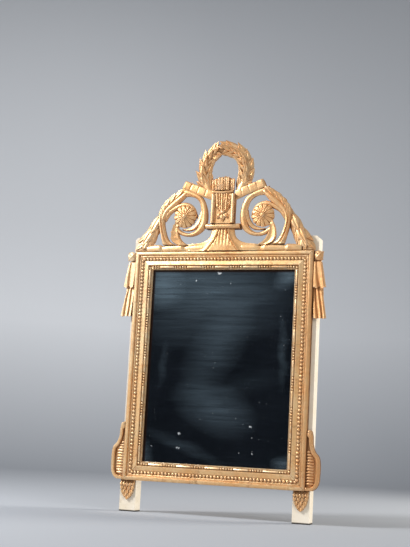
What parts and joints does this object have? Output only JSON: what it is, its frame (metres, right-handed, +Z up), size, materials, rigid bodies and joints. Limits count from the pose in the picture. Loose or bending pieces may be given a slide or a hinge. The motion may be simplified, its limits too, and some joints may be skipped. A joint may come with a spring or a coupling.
{
  "type": "carved wall mirror",
  "caption": "Tall gilded wall mirror with a pierced crest of quiver, laurel wreath, scrolls and garlands, pearl and bead mouldings, side tassels and consoles, on painted battens.",
  "frame": {"origin": "on the floor under the feet, midway between the sides and midway through the depth", "axes": "+Z up, -Y out of the glass towards the viewer, +X to the viewer's right"},
  "size_m": [0.5, 0.064, 0.875],
  "materials": {
    "gilding": "worn water gilding over bole on carved wood",
    "cream_paint": "matt cream paint on wood",
    "mirror_plate": "old silvered glass with foxing",
    "pine": "bare sawn softwood, darkened",
    "iron": "dark forged iron"
  },
  "bodies": {
    "mirror": {"arrow_bundle": "gilding", "back_board_centre": "pine", "back_board_left": "pine", "back_board_right": "pine", "batten_screws": "iron", "board_nails": "iron", "bottom_rail": "gilding", "collar": "gilding", "crest_base": "gilding", "crest_dowels": "pine", "glass_wedges": "pine", "hanger_plate": "iron", "hanger_screws": "iron", "left_batten": "cream_paint", "left_console": "gilding", "left_drop": "gilding", "left_garland": "gilding", "left_leaf": "gilding", "left_ribbon": "gilding", "left_rosette": "gilding", "left_scroll": "gilding", "left_stem": "gilding", "left_stile": "gilding", "left_tassel": "gilding", "mirror_glass": "mirror_plate", "mitre_keys": "pine", "ornament_pins": "pine", "quiver": "gilding", "right_batten": "cream_paint", "right_console": "gilding", "right_drop": "gilding", "right_garland": "gilding", "right_leaf": "gilding", "right_ribbon": "gilding", "right_rosette": "gilding", "right_scroll": "gilding", "right_stem": "gilding", "right_stile": "gilding", "right_tassel": "gilding", "tie_bar": "gilding", "top_rail": "gilding", "wreath": "gilding"},
    "ring": {"hanging_ring": "iron"}
  },
  "joints": [
    {"name": "ring_swing", "type": "hinge", "parent": "mirror", "child": "ring", "pos_m": [0, 0.00385, 0.603], "axis": [1, 0, 0], "range_deg": [0, 180]}
  ]
}
